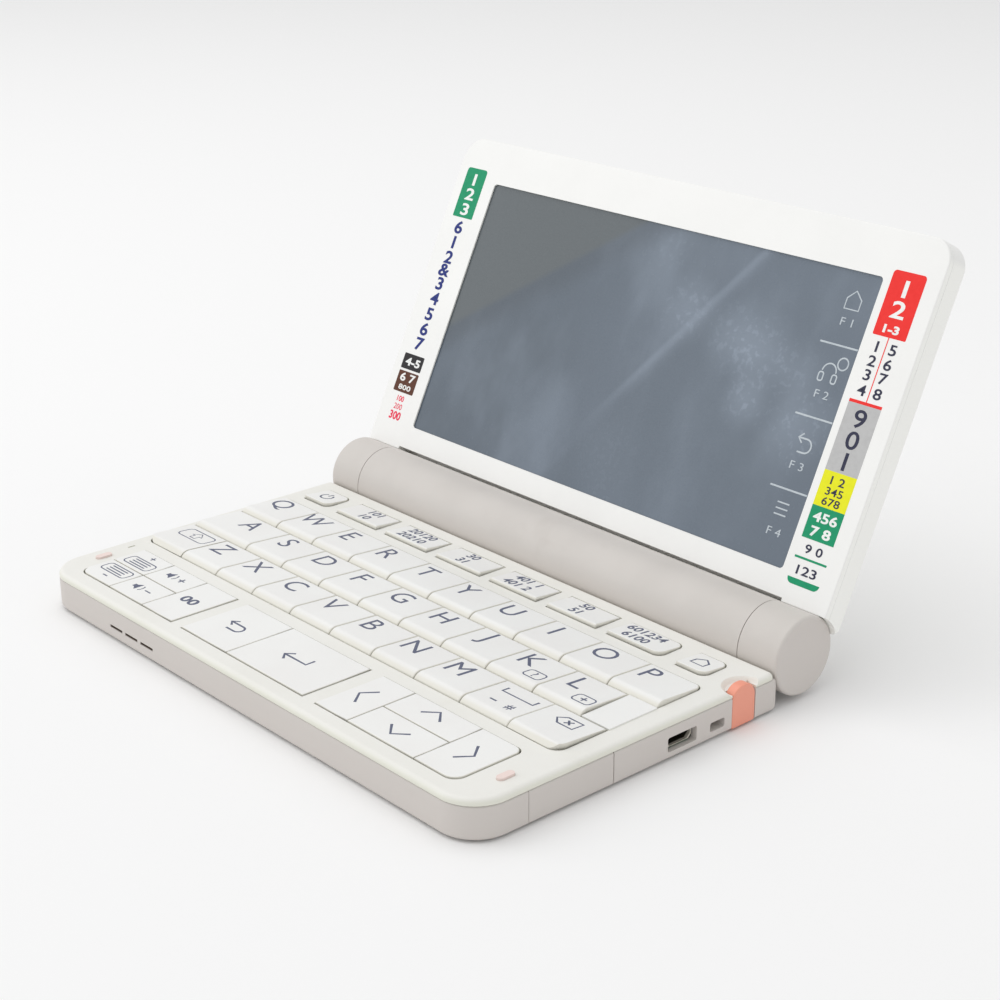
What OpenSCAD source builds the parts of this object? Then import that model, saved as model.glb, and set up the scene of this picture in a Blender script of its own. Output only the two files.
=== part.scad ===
// Electronic dictionary: a clamshell with a touch screen in the lid, a letter keyboard in the
// base, and two cells in the round barrel that also carries the hinge along the back edge.
// Millimetres. +Z is up, +Y points from the front edge to the hinge, +X to the user's right.
// The origin lies on the table, in the middle of the base between its front edge and the
// back of the barrel. The lid stands open at open_angle.

/* [Body] */
// Overall width
body_w = 156; // [150:1:175]
// Depth from the front edge to the back of the hinge barrel
body_d = 104.2; // [96:0.1:114]
// Height of the lower case, from its underside to the seam with the deck
case_h = 7.5; // [7:0.1:9]
// Thickness of the keyboard deck above the seam
deck_t = 1.55; // [1.4:0.05:2.2]
// Wall thickness of the lower case
case_wall = 1.6; // [1.4:0.1:2]
// Floor thickness of the lower case
floor_t = 1; // [0.9:0.1:1.2]
// Radius of the two front corners, seen from above
front_corner_r = 9; // [5:0.5:12]
// Radius of the case's two rear corners, seen from above
rear_corner_r = 2.2; // [1.5:0.1:2.5]
// Radius of the deck's two rear corners, seen from above
deck_corner_r = 1.3; // [1.3:0.1:2.5]
// Rounding of the deck's top edge
deck_edge_r = 1.2; // [0.6:0.1:1.3]
// Rounding of the case's lower edge
case_edge_r = 0.9; // [0.4:0.1:1]
// Height of the rubber feet under the case
foot_h = 0.5; // [0.4:0.1:1.5]

/* [Barrel and hinge] */
// Diameter of one cell
cell_d = 14.5; // [13.5:0.1:15.5]
// Length of one cell, with its nub
cell_len = 50.5; // [46:0.5:50.5]
// Wall thickness of the barrel
barrel_wall = 1.5; // [1.2:0.1:2.2]
// Width of each turning end drum
drum_w = 11.4; // [9:0.1:12]
// Diameter of the hinge shafts
shaft_d = 5; // [3:0.5:6]
// Gap between the barrel and the case
barrel_gap = 0.45; // [0.3:0.05:0.6]
// Gap between the barrel and the lid
lid_slot = 0.8; // [0.4:0.05:0.9]

/* [Lid] */
// Angle between the lid and its closed position
open_angle = 115.9; // [0:0.1:150]
// Thickness of the lid
lid_t = 7.4; // [7:0.1:10]
// How far the lid stands out beyond each side of the base
lid_overhang = 1.3; // [0.5:0.1:1.8]
// How far the closed lid stays behind the front edge of the base
lid_inset = 0.5; // [0:0.1:1]
// Height of the closed lid's inner face above the deck
lid_gap = 1.6; // [1.5:0.1:2.2]
// Radius of the lid's two outer corners
lid_corner_r = 6; // [3:0.5:9]
// Lid face beside the screen window
side_bezel = 15.1; // [14:0.1:20]
// Lid face beyond the screen window
top_bezel = 11.1; // [9:0.1:16]
// Distance from the hinge axis to the near edge of the window
window_start = 15.8; // [15.6:0.1:18]

/* [Keyboard] */
// Gap between neighbouring keys
key_gap = 0.3; // [0.25:0.05:0.4]
// Travel of every key
key_travel = 1; // [0.6:0.1:1.2]
// Height of the sloped keys' front ridge above the deck
key_rise = 1.25; // [0.8:0.05:1.3]
// Deck strip to the left of the keyboard
left_strip = 2.7; // [2.2:0.1:4]
// Deck strip to the right of the keyboard
right_strip = 5.3; // [5:0.1:7]
// Deck between the front edge and the three letter rows
front_strip = 26.8; // [26:0.1:28]
// Deck between the three letter rows and the deck's rear edge
rear_strip = 16.6; // [16.3:0.1:17.3]
// Depth of the control key clusters
cluster_d = 18.2; // [16:0.1:18.4]
// Depth of the top row of keys
top_row_d = 8.3; // [7:0.1:8.5]
// Diameter of the key stems
stem_d = 4; // [3:0.1:4.4]

/* [Card slot and pen] */
// Width of the memory card cover
cover_w = 23; // [20:0.5:24]
// Diameter of the pen
pen_d = 3.5; // [2.8:0.1:3.6]
// Length of the pen, without its head
pen_len = 91.5; // [80:0.5:110]
// Width of the pen's head
pen_head_w = 7.1; // [6:0.1:8]

/* [Hidden] */
$fn = 64;
over = 0.2; // how far a cutting body reaches past the face that it cuts
fit = 0.2; // gap between pieces that close onto each other
slip = 0.1; // gap of an inner piece in its seat
hair = 0.05; // gap of a piece that is stuck or soldered in its seat
square_corners = [0, 0, 0, 0];
back_letters = "qwertyuiop";
middle_letters = "asdfghjkl";
front_letters = "zxcvbnm";

// Colours
deck_white = "#f0efea";
key_white = "#eeeeeb";
case_grey = "#cdc8c3";
lid_white = "#f6f6f4";
salmon = "#ee9a86";
rubber_grey = "#3a3b40";
steel = "#b9bbbf";

// Barrel and hinge axis
barrel_bore_r = cell_d / 2 + 0.4;
barrel_r = barrel_bore_r + barrel_wall;
barrel_rise = 0.65; // underside of the barrel above the underside of the case
front_y = -body_d / 2;
axis_y = body_d / 2 - barrel_r;
axis_z = foot_h + barrel_rise + barrel_r;
half_w = body_w / 2;
barrel_half = half_w - drum_w;
cell_room = 0.1;
cell_nub = 1;
contact_room = 1.4;
plug_x = cell_len + cell_room + contact_room; // inner face of the barrel's solid ends
shaft_r = shaft_d / 2;
shaft_x = plug_x + 5; // the shafts start here, inside the solid ends
bore_play = 0.02; // of a fixed shaft or screw
turn_play = 0.05; // of a shaft that turns
cradle_w = 1.2;
door_front = 1.5; // edges of the battery door, from the axis towards the front
door_top = 5.2; // and down from the axis
door_lap = 1;
groove_pitch = 2.2;
groove_w = 0.8;
groove_depth = 0.35;
drum_gap = 0.2;
drum_wall = 1.6;
drum_edge_r = 0.8;
drum_boss_wall = 2;
shaft_end_room = 0.9;

// Levels, from the table up
floor_z = foot_h + floor_t;
seam_z = foot_h + case_h;
deck_z = seam_z + deck_t;
seam_gap = 0.12;
seam_edge_r = 0.25; // rounding of the deck's lower edge
shoulder_r = 0.5; // rounding of the case's upper edge
board_z = floor_z + fit;
board_t = 0.8;
board_top = board_z + board_t;
sheet_z = board_top + slip;
sheet_t = 0.5;
cap_z = seam_z + slip; // underside of the key caps
guide_t = 0.8;
guide_top = cap_z - key_travel - fit; // plate that guides the stems
guide_z = guide_top - guide_t;
stem_room = 0.6; // left under a pressed stem
stem_z = sheet_z + sheet_t + key_travel + stem_room;
cup_z = stem_z + fit; // rim of the rubber cups

// Case and deck, seen from above
barrel_tuck = 1.5; // how far the case reaches in under the barrel
deck_back_gap = 0.3;
rear_wall = 1.5;
case_rear_y = axis_y - barrel_r + barrel_tuck;
deck_rear_y = axis_y - barrel_r - deck_back_gap;
cavity_rear_y = deck_rear_y - rear_wall;
cavity_r = 1;
inner_x = half_w - case_wall;
deck_d = deck_rear_y - front_y;

// Neck of the barrel, which enters the case through its rear wall
neck_y = cavity_rear_y - 1;
neck_rear_y = axis_y - barrel_bore_r + 1.7;
neck_half = plug_x + 6;
neck_z = floor_z + 0.7;
neck_top = guide_z - 0.25;

// Keyboard cells: [left, right, front, back]
key_x = -half_w + left_strip;
pitch = (body_w - left_strip - right_strip) / 10;
keys_y = front_y + front_strip;
row_d = (deck_d - front_strip - rear_strip) / 3;
first_key_pitches = 1.46; // width of the middle row's first key
cluster_front = 4.5;
cluster_y = front_y + cluster_front;
cluster_rear_y = cluster_y + cluster_d;
front_half_share = 0.516;
cluster_mid = cluster_y + cluster_d * front_half_share;
top_row_gap = 3.6;
top_row_y = keys_y + 3 * row_d + top_row_gap;
// Edges of the clusters and of the top row's keys, in pitches from the keyboard's left edge
left_cluster = [0.38, 1.28, 2.23, 3.06];
middle_cluster = [3.33, 4.52, 6.40];
right_cluster = [6.69, 7.42, 8.85, 9.68];
power_span = [0.21, 0.845];
home_span = [9.21, 9.77];
dictionary_start = 1.14;
dictionary_pitch = 1.33;
dictionary_width = 1.095;
dictionary_count = 6;
outer_r = 3; // outer corners of the keyboard and of the clusters
small_r = 2;
pad_rise = 0.35; // the blank pad beside the middle row, above the deck
stem_r = stem_d / 2;
small_stem_r = 1.2;
stem_play = 0.12;
cup_play = 0.2;
cup_wall = 0.35;
stem_inset = 0.8; // from a half key's dividing line to its stem

// Side profiles of the key caps, above the deck
lip_rise = 0.05; // sloped keys: front lip, ridge, rear edge and rear lip
ridge_y = 1.2;
back_rise = 0.45;
back_lip_rise = 0.15;
back_chamfer = 0.5;
cluster_rise = 0.3; // flat keys: top, and bevel of its front and rear edges
cluster_chamfer = 0.15;
top_row_rise = 0.9;
top_row_chamfer = 0.35;

// Board and key sheet, up to the stems of the top row
board_half = half_w - 7.6;
board_y = front_y + 8.5;
board_rear_y = top_row_y + key_gap / 2 + 2 * small_stem_r + 0.6;

// Pen, behind the board, and its head in the right wall
pen_r = pen_d / 2;
pen_y = board_rear_y + hair + pen_r;
pen_z = (floor_z + guide_z) / 2;
pen_tip = 4;
pen_tip_r = 0.5;
pen_head_front = 5.25; // from the head's front edge to the pen's axis
pen_head_y = pen_y - pen_head_front;
pen_head_t = 2.4;
pen_head_x = half_w - pen_head_t;
pen_head_rise = 0.4;
pen_head_r = 3.3;
pen_foot_r = 0.5;
pen_rib_t = 1.2;
pen_ribs = [half_w - 18, half_w - 58, pen_head_x - pen_len + pen_tip + 1];
scoop_r = 5; // finger scoop in the deck round the head: at its rim and at its floor
scoop_floor_r = 4.1;
scoop_depth = 1;

// Right wall, from the pen forwards: strap hole, data socket, card cover
strap_w = 4.4;
strap_y = pen_head_y - 2.35 - strap_w;
strap_h = 2.1;
strap_z = foot_h + 1.85;
strap_depth = 3.4;
strap_bar = 1.2;
strap_wall = 0.8;
usb_w = 8.5;
usb_y = strap_y - 4.1 - usb_w;
usb_t = 2.6;
usb_depth = 8.3;
usb_x = half_w - 1.2;
usb_rim = 0.35;
usb_chamfer = 0.9; // lower corners of the metal shell
usb_tongue_w = 3.8;
usb_tongue_t = 0.6;
usb_back = 1;
hole_r = 0.5; // corners of the holes in the side wall
shell_t = 0.3;
cover_y = front_y + 14.6;
cover_gap = 0.15;
tab_len = 5;
tab_w = 3;
tab_inset = 1;
card_w = 13;
card_depth = 12.5;
card_t = 1.6;
card_side = 0.5;
card_x = half_w - 3;
card_y = cover_y + 2.9;
sheet_notch = 0.5;

// Screws, in pillars of the case and bosses of the deck
screw_x = half_w - 4.7;
screw_ys = [front_y + 7.8, (cover_y + cover_w + usb_y) / 2, pen_head_y + 0.85];
pillar_r = 2.6;
boss_r = 2.1;
screw_head_r = 1.8;
screw_r = 1;
screw_head_z = foot_h + fit;
screw_head_t = 1.2;
pillar_top = screw_head_z + screw_head_t + 1;
screw_tip = guide_z - fit;

// Speaker behind its slots in the front wall
speaker_x = -half_w + 28;
speaker_w = 19;
speaker_d = 6;
speaker_t = 2.8;
speaker_y = front_y + case_wall + 0.6;
slot_x = speaker_x + 0.8;
slot_w = 5.2;
slot_pitch = 6.4;
slot_h = 0.7;
slot_z = foot_h + 2.7;
mic_x = -half_w + 4;
mic_y = front_y + 20.6;
mic_w = 0.5;
mic_len = 2;

// Feet and lid bumpers
foot_r = 4;
foot_sink = 0.35;
foot_x = half_w - 16;
foot_y = front_y + 8;
barrel_foot_r = 2.5;
barrel_foot_x = plug_x + 8;
bumper_x = half_w - 5;
bumper_y = front_y + 13.2;
bumper_r = 0.9;
bumper_len = 2.4;
bumper_sink = 0.5;
bumper_rise = 0.5;

// Lid, in its closed pose about the hinge axis: it runs to -y, and its back is up
lid_half = half_w + lid_overhang;
lid_len = axis_y - front_y - lid_inset;
lid_face = deck_z + lid_gap - axis_z;
lid_back_z = lid_face + lid_t;
frame_t = 1.4;
shell_z = lid_face + frame_t + hair; // where the back shell meets the frame
lid_wall = 1.6;
lid_back_t = 1.9;
lid_floor_z = lid_back_z - lid_back_t;
lid_root = 6; // near end of the lid, behind the cut for the barrel
lid_root_r = 1.6;
chin = 13; // the back shell is solid from the root to here
back_edge_r = 1.5;
face_edge_r = 0.4;
frame_edge_r = 0.1;
shell_edge_r = 0.15;
window_half = lid_half - side_bezel;
window_end = lid_len - top_bezel;
window_lip = 0.4;
window_r = 1;
gasket_w = 0.9;
gasket_t = 0.5;
glass_t = 1;
panel_border = 1.9;
panel_z = lid_face + window_lip + hair;
display_z = panel_z + gasket_t + glass_t + slip;
display_border = 2.5;
display_half = window_half - 1.6;
tongue_x = barrel_half + 1.8;
tongue_w = 7.4;
tongue_start = 3.5;
tongue_end = 20;
tongue_z = lid_face + frame_t + fit;
tongue_t = 2.6;

// ---- outlines and plain shapes ----

// Upright section with its lower edges rounded by e0 and its upper edges by e1
module section(a0, a1, z0, z1, e0, e1) {
    mid = (z0 + z1) / 2;
    intersection() {
        union() {
            translate([a0, z0 + e0]) square([a1 - a0, z1 - z0 - e0 - e1]);
            translate([a0 + e0, z0]) square([a1 - a0 - 2 * e0, mid - z0]);
            translate([a0 + e1, mid]) square([a1 - a0 - 2 * e1, z1 - mid]);
            for (a = [a0 + e0, a1 - e0]) translate([a, z0 + e0]) circle(r = e0);
            for (a = [a0 + e1, a1 - e1]) translate([a, z1 - e1]) circle(r = e1);
        }
        translate([a0, z0]) square([a1 - a0, z1 - z0]);
    }
}

// Round corner post with the same edges
module post(r, z0, z1, e0, e1) {
    rotate_extrude() intersection() {
        section(-r, r, z0, z1, e0, e1);
        translate([0, z0]) square([r, z1 - z0]);
    }
}

// Plate with rounded edges and corners of radius r0 at its end y0 and r1 at its end y1
module slab(half, y0, y1, r0, r1, z0, z1, e0, e1) {
    end = 2 * max(r1, e0, e1);
    translate([-half + r0, 0, 0]) rotate([90, 0, 90]) linear_extrude(2 * (half - r0))
        section(y0, y1, z0, z1, e0, e1);
    translate([-half + r1, 0, 0]) rotate([90, 0, 90]) linear_extrude(2 * (half - r1))
        section(y1 - end, y1, z0, z1, e0, e1);
    translate([0, y1 - r1, 0]) rotate([90, 0, 0]) linear_extrude(y1 - y0 - r0 - r1)
        section(-half, half, z0, z1, e0, e1);
    for (s = [-1, 1]) {
        translate([s * (half - r0), y0 + r0, 0]) post(r0, z0, z1, e0, e1);
        translate([s * (half - r1), y1 - r1, 0]) post(r1, z0, z1, e0, e1);
    }
}

// The same plate's flat outline, for hollows and inner blocks
module outline(half, y0, y1, r0, r1) {
    translate([-half + r0, y0]) square([2 * (half - r0), y1 - y0]);
    translate([-half, y0 + r0]) square([2 * half, y1 - y0 - r0 - r1]);
    translate([-half + r1, y0 + r0]) square([2 * (half - r1), y1 - y0 - r0]);
    for (s = [-1, 1]) {
        translate([s * (half - r0), y0 + r0]) circle(r = r0);
        translate([s * (half - r1), y1 - r1]) circle(r = r1);
    }
}

// Rectangle whose corners, from front left round to back left, have their own radii
module corner_rect(x0, x1, y0, y1, radii) {
    corners = [[x0, y0], [x1, y0], [x1, y1], [x0, y1]];
    inward = [[1, 1], [-1, 1], [-1, -1], [1, -1]];
    difference() {
        translate([x0, y0]) square([x1 - x0, y1 - y0]);
        for (i = [0 : 3]) if (radii[i] > 0) difference() {
            translate(corners[i] + inward[i] * (radii[i] - over) / 2)
                square(radii[i] + over, center = true);
            translate(corners[i] + inward[i] * radii[i]) circle(r = radii[i]);
        }
    }
}

module block(x0, x1, y0, y1, z0, z1) {
    translate([x0, y0, z0]) cube([x1 - x0, y1 - y0, z1 - z0]);
}

module rod_z(x, y, r, z0, z1) {
    translate([x, y, z0]) cylinder(r = r, h = z1 - z0);
}

module rod_x(y, z, r, x0, x1) {
    translate([x0, y, z]) rotate([0, 90, 0]) cylinder(r = r, h = x1 - x0);
}

// Rod about the hinge axis
module axle(r, x0, x1) {
    rod_x(axis_y, axis_z, r, x0, x1);
}

module mirror_pair() {
    children();
    mirror([1, 0, 0]) children();
}

// ---- keyboard cells and stems ----

function row_y(row) = keys_y + row * row_d;
function first_x(row) = row == 1 ? key_x + (first_key_pitches - 1) * pitch : key_x;
function row_cell(row, i) = [
    i == 0 ? key_x : first_x(row) + i * pitch,
    first_x(row) + (i + 1) * pitch, row_y(row), row_y(row + 1)
];
function span_x(f) = key_x + f * pitch;
function span_cell(a, b, y0, y1) = [span_x(a), span_x(b), y0, y1];
function full_cell(edges, i) = span_cell(edges[i], edges[i + 1], cluster_y, cluster_rear_y);
function front_cell(edges, i) = span_cell(edges[i], edges[i + 1], cluster_y, cluster_mid);
function back_cell(edges, i) = span_cell(edges[i], edges[i + 1], cluster_mid, cluster_rear_y);
function top_cell(span) = span_cell(span[0], span[1], top_row_y, top_row_y + top_row_d);
function dictionary_span(i) = [
    dictionary_start + i * dictionary_pitch,
    dictionary_start + i * dictionary_pitch + dictionary_width
];
function right_corners(rounded, r) = rounded ? [0, r, r, 0] : square_corners;
function mid_x(cell) = (cell[0] + cell[1]) / 2;
// Stems: [x, y, radius]
function mid_stem(cell) = [mid_x(cell), (cell[2] + cell[3]) / 2, stem_r];
function front_stem(cell) = [mid_x(cell), cell[3] - stem_r - stem_inset, stem_r];
function back_stem(cell) = [mid_x(cell), cell[2] + stem_r + stem_inset, stem_r];
function top_stem(cell) = [mid_x(cell), cell[2] + key_gap / 2 + small_stem_r, small_stem_r];

clusters = [
    [left_cluster, [outer_r, 0, 0, 0]], [middle_cluster, square_corners],
    [right_cluster, [0, outer_r, small_r, 0]]
];
full_cells = concat(
    [for (row = [0, 2]) for (i = [0 : 9]) row_cell(row, i)],
    [for (i = [0 : 8]) row_cell(1, i)],
    [full_cell(left_cluster, 2), full_cell(middle_cluster, 0), full_cell(middle_cluster, 1)],
    [full_cell(right_cluster, 0), full_cell(right_cluster, 2)]
);
halved = [[left_cluster, 0], [left_cluster, 1], [right_cluster, 1]];
// Keys of the top row: [span, whether the right corners are rounded]
top_keys = concat(
    [[power_span, true], [home_span, true]],
    [for (i = [0 : dictionary_count - 1]) [dictionary_span(i), i == dictionary_count - 1]]
);
stems = concat(
    [for (cell = full_cells) mid_stem(cell)],
    [for (h = halved) front_stem(front_cell(h[0], h[1]))],
    [for (h = halved) back_stem(back_cell(h[0], h[1]))],
    [for (k = top_keys) top_stem(top_cell(k[0]))]
);

// Side profiles of the caps, from the front edge y0 to the back edge y1
module sloped_profile(y0, y1) {
    polygon([
        [y0, cap_z], [y0, deck_z + lip_rise], [y0 + ridge_y, deck_z + key_rise],
        [y1 - back_chamfer, deck_z + back_rise], [y1, deck_z + back_lip_rise], [y1, cap_z]
    ]);
}

module flat_profile(y0, y1, rise, chamfer) {
    top = deck_z + rise;
    polygon([
        [y0, cap_z], [y0, top - chamfer], [y0 + chamfer, top],
        [y1 - chamfer, top], [y1, top - chamfer], [y1, cap_z]
    ]);
}

// One key: its cap, with the side profile that is its child, and the stem under it
module key(cell, stem, radii) color(key_white) {
    g = key_gap / 2;
    intersection() {
        translate([0, 0, cap_z]) linear_extrude(deck_t + key_rise + top_row_rise)
            corner_rect(cell[0] + g, cell[1] - g, cell[2] + g, cell[3] - g, radii);
        translate([cell[0], 0, 0]) rotate([90, 0, 90]) linear_extrude(cell[1] - cell[0]) children();
    }
    rod_z(stem[0], stem[1], stem[2], stem_z, cap_z + over);
}

module row_key(row, i, radii = square_corners) {
    cell = row_cell(row, i);
    key(cell, mid_stem(cell), radii) sloped_profile(cell[2] + key_gap / 2, cell[3] - key_gap / 2);
}

module cluster_key(cell, stem, radii) {
    key(cell, stem, radii)
        flat_profile(cell[2] + key_gap / 2, cell[3] - key_gap / 2, cluster_rise, cluster_chamfer);
}

// The end keys of the back row fill the window's rounded corners
module back_row_key(i) row_key(2, i, [0, 0, i == 9 ? small_r : 0, i == 0 ? small_r : 0]);

module full_key(edges, i, radii = square_corners) {
    cluster_key(full_cell(edges, i), mid_stem(full_cell(edges, i)), radii);
}

module front_half_key(edges, i, radii = square_corners) {
    cluster_key(front_cell(edges, i), front_stem(front_cell(edges, i)), radii);
}

module back_half_key(edges, i) {
    cluster_key(back_cell(edges, i), back_stem(back_cell(edges, i)), square_corners);
}

module top_key(span, rounded) {
    cell = top_cell(span);
    key(cell, top_stem(cell), right_corners(rounded, small_r))
        flat_profile(cell[2] + key_gap / 2, cell[3] - key_gap / 2, top_row_rise, top_row_chamfer);
}

// ---- base: shapes that pieces share ----

module case_body() {
    slab(half_w, front_y, case_rear_y, front_corner_r, rear_corner_r, foot_h,
        seam_z - seam_gap / 2, case_edge_r, shoulder_r);
}

// The piece of the side wall that the card cover replaces, drawn in by a gap all round
module cover_zone(gap) {
    block(inner_x + gap, half_w + over, cover_y + gap, cover_y + cover_w - gap, 0, seam_z + over);
}

// Room for the pen's head in the side wall and the deck
module pen_head_room(top) {
    block(pen_head_x - slip, half_w + over, pen_head_y - slip, pen_head_y + pen_head_w + slip, 0, top);
}

// Flat-floored recess round the pen's head, with sloping sides
module finger_scoop() {
    slope = (scoop_r - scoop_floor_r) / scoop_depth;
    translate([half_w, pen_head_y + pen_head_w / 2, deck_z - scoop_depth])
        cylinder(r1 = scoop_floor_r, r2 = scoop_r + slope * over, h = scoop_depth + over);
}

// Opening under the barrel for the battery door, grown by a gap
module door_zone(gap) {
    end = plug_x + door_lap + gap;
    block(-end, end, axis_y - door_front - gap, axis_y + barrel_r + over,
        axis_z - barrel_r - over, axis_z - door_top + gap);
}

// Blank pad beside the middle row, as wide as what its nine keys leave
module pad_outline() {
    x = row_cell(1, 8)[1] + key_gap;
    translate([x, row_y(1) + key_gap / 2]) square([span_x(10) + key_gap - x, row_d - key_gap]);
}

module bumper_outline(grow) {
    r = bumper_r + grow;
    translate([-r, -bumper_len / 2]) square([2 * r, bumper_len]);
    for (s = [-1, 1]) translate([0, s * bumper_len / 2]) circle(r = r);
}

// Wells of the keys in the deck
module keyboard_wells() {
    g = key_gap / 2;
    difference() {
        corner_rect(key_x - g, span_x(10) + g, keys_y - g, row_y(3) + g,
            [outer_r, outer_r, small_r + g, small_r + g]);
        pad_outline();
    }
    for (c = clusters) corner_rect(span_x(c[0][0]) - g, span_x(c[0][len(c[0]) - 1]) + g,
        cluster_y - g, cluster_rear_y + g, c[1]);
    for (k = top_keys) {
        cell = top_cell(k[0]);
        corner_rect(cell[0] - g, cell[1] + g, cell[2] - g, cell[3] + g, right_corners(k[1], small_r + g));
    }
}

// ---- base ----

module case_hollow() {
    translate([0, 0, floor_z]) linear_extrude(case_h)
        outline(inner_x, front_y + case_wall, cavity_rear_y, front_corner_r - case_wall, cavity_r);
}

module case_fittings() {
    mirror_pair() for (y = screw_ys) rod_z(screw_x, y, pillar_r, foot_h, pillar_top);
    // Block round the strap hole
    block(inner_x - strap_depth - 1, inner_x + over, strap_y - strap_wall, strap_y + strap_w + strap_wall,
        foot_h, strap_z + strap_h + strap_wall);
    for (x = pen_ribs) block(x, x + pen_rib_t, board_rear_y + slip, pen_y + pen_r + 1, foot_h, pen_z);
}

// Hole with rounded corners, from x out through the side wall
module side_hole(x, y0, y1, z0, z1) {
    translate([x, 0, 0]) rotate([90, 0, 90]) linear_extrude(half_w + over - x)
        corner_rect(y0, y1, z0, z1, [hole_r, hole_r, hole_r, hole_r]);
}

// The strap passes in through the wall, round a bar, and out through the floor
module strap_hole() {
    back = inner_x - strap_depth;
    side_hole(back, strap_y, strap_y + strap_w, strap_z, strap_z + strap_h);
    block(back, inner_x - strap_bar, strap_y, strap_y + strap_w, 0, strap_z + strap_h);
}

module bottom_case() color(case_grey) difference() {
    union() {
        difference() {
            case_body();
            case_hollow();
        }
        intersection() {
            case_body();
            case_fittings();
        }
    }
    axle(barrel_r + barrel_gap, -half_w - over, half_w + over);
    block(-neck_half - fit, neck_half + fit, cavity_rear_y - over, case_rear_y + over,
        neck_z - fit, neck_top + fit);
    mirror_pair() for (y = screw_ys) {
        rod_z(screw_x, y, screw_head_r + slip, 0, screw_head_z + screw_head_t);
        rod_z(screw_x, y, screw_r + slip, foot_h, pillar_top + over);
    }
    cover_zone(0);
    pen_head_room(seam_z + over);
    rod_x(pen_y, pen_z, pen_r + slip, pen_ribs[2] - over, pen_head_x);
    strap_hole();
    side_hole(inner_x - over, usb_y, usb_y + usb_w, board_top - usb_rim, board_top + usb_t + usb_rim);
    for (i = [0 : 2]) block(slot_x + i * slot_pitch, slot_x + i * slot_pitch + slot_w, front_y - over,
        front_y + case_wall + over, slot_z, slot_z + slot_h);
    mirror_pair() rod_z(foot_x, foot_y, foot_r + slip, 0, foot_h + foot_sink);
}

module top_deck() color(deck_white) difference() {
    union() {
        slab(half_w, front_y, deck_rear_y, front_corner_r, deck_corner_r, seam_z + seam_gap / 2,
            deck_z, seam_edge_r, min(deck_edge_r, deck_t - seam_gap / 2 - seam_edge_r - bore_play));
        // Inner block that centres the deck in the case
        translate([0, 0, guide_z]) linear_extrude(seam_z + deck_t / 2 - guide_z)
            outline(inner_x - fit, front_y + case_wall + fit, cavity_rear_y - fit,
                front_corner_r - case_wall - fit, cavity_r);
        mirror_pair() for (y = screw_ys) rod_z(screw_x, y, boss_r, pillar_top + slip, guide_z + over);
        translate([0, 0, seam_z]) linear_extrude(deck_t + pad_rise) pad_outline();
    }
    translate([0, 0, guide_top]) linear_extrude(case_h) keyboard_wells();
    for (s = stems) rod_z(s[0], s[1], s[2] + stem_play, guide_z - over, guide_top + over);
    mirror_pair() {
        for (y = screw_ys) rod_z(screw_x, y, screw_r + bore_play, pillar_top, screw_tip + slip);
        translate([bumper_x, bumper_y, deck_z - bumper_sink]) linear_extrude(deck_t) bumper_outline(hair);
    }
    pen_head_room(deck_z + over);
    finger_scoop();
    block(mic_x - mic_w / 2, mic_x + mic_w / 2, mic_y, mic_y + mic_len, seam_z + seam_edge_r, deck_z + over);
}

// Rib that holds a cell on the barrel's axis
module cradle_rib(x) {
    difference() {
        axle(barrel_bore_r + over, x - cradle_w / 2, x + cradle_w / 2);
        axle(cell_d / 2 + slip, x - cradle_w, x + cradle_w);
    }
}

module barrel() color(case_grey) difference() {
    union() {
        difference() {
            union() {
                axle(barrel_r, -barrel_half, barrel_half);
                block(-neck_half, neck_half, neck_y, neck_rear_y, neck_z, neck_top);
            }
            axle(barrel_bore_r, -plug_x, plug_x);
        }
        for (f = [-0.75, -0.25, 0.25, 0.75]) cradle_rib(f * cell_len);
    }
    mirror_pair() axle(shaft_r + bore_play, shaft_x - fit, barrel_half + over);
    door_zone(slip);
}

module battery_cover() color(case_grey) difference() {
    intersection() {
        difference() {
            axle(barrel_r, -barrel_half, barrel_half);
            axle(barrel_bore_r, -half_w, half_w);
        }
        door_zone(-slip);
    }
    // Thumb grooves
    for (i = [-3 : 3]) difference() {
        axle(barrel_r + over, i * groove_pitch - groove_w / 2, i * groove_pitch + groove_w / 2);
        axle(barrel_r - groove_depth, i * groove_pitch - groove_w, i * groove_pitch + groove_w);
    }
}

module cell(x0) {
    axle(cell_d / 2, x0, x0 + cell_len - cell_nub);
    axle(cell_d * 0.19, x0 + cell_len - cell_nub - over, x0 + cell_len);
}

module batteries() color("#2f6f8f") {
    cell(-cell_len - cell_room);
    cell(cell_room);
}

// A plate against each solid end of the barrel, with a boss towards the cell
module battery_contacts() color(steel) mirror_pair() {
    axle(cell_d / 2 - 1, plug_x - slip - 0.4, plug_x - slip);
    axle(cell_d * 0.17, plug_x - contact_room + slip, plug_x - slip - 0.2);
}

module hinge_shafts() color(steel) mirror_pair()
    axle(shaft_r, shaft_x, half_w - drum_wall - shaft_end_room);

// Metal shell of the card socket, open to the right
module card_socket() {
    difference() {
        block(card_x - card_depth, card_x, card_y, card_y + card_w, board_z + slip, board_top + card_t);
        block(card_x - card_depth + 1, card_x + over, card_y + card_side, card_y + card_w - card_side,
            board_top + shell_t, board_top + card_t - shell_t);
    }
}

// Outline of the data socket, narrower below
module usb_outline(inset) {
    y0 = usb_y + 0.5 + inset;
    y1 = usb_y + usb_w - 0.5 - inset;
    z0 = board_top - slip + inset;
    z1 = board_top + usb_t - inset;
    polygon([
        [y0 + usb_chamfer, z0], [y1 - usb_chamfer, z0], [y1, z0 + usb_chamfer], [y1, z1], [y0, z1],
        [y0, z0 + usb_chamfer]
    ]);
}

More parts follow.
